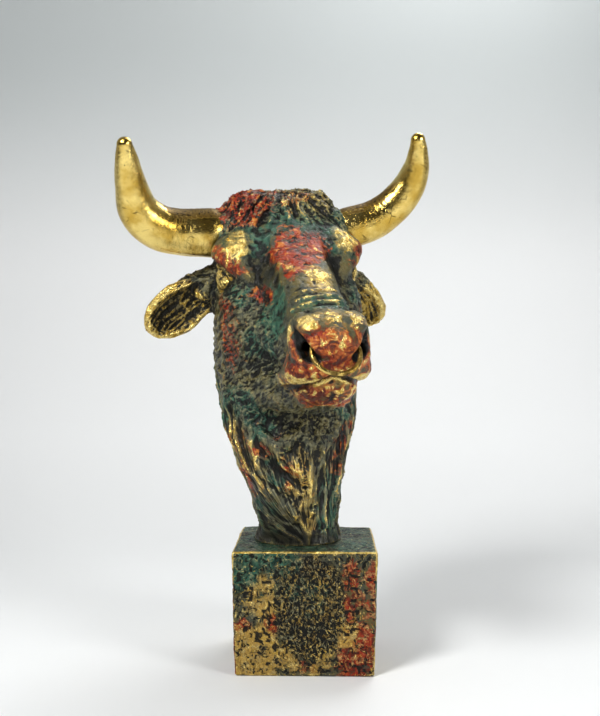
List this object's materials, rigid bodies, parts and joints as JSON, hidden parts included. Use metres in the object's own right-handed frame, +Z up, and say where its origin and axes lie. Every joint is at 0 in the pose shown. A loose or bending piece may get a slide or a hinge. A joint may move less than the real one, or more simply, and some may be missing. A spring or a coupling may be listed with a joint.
{
  "type": "bull head bust",
  "caption": "Bull's head bust on a square plinth: swept horns, drooping ears and a ring through the nose, with folds and locks carved on head and neck.",
  "frame": {"origin": "centre of the plinth's underside", "axes": "+Z up through the plinth and the neck; the bull faces -Y, turned a little to +X, its own left; its horns spread along X"},
  "size_m": [0.2335, 0.2278, 0.3966],
  "materials": {
    "patina": "painted resin: teal, rust red and dark grey washes with gold brushed over the raised relief",
    "plinth_patina": "pebbled painted resin in teal, rust red and dark grey, with gold edges",
    "gilt": "bright gold leaf with brown rubbed into the scratches",
    "ring_gilt": "satin gold"
  },
  "bodies": {
    "root": {"bull_head": "patina", "plinth": "plinth_patina", "horn_left": "gilt", "horn_right": "gilt", "nose_ring": "ring_gilt"}
  },
  "joints": []
}
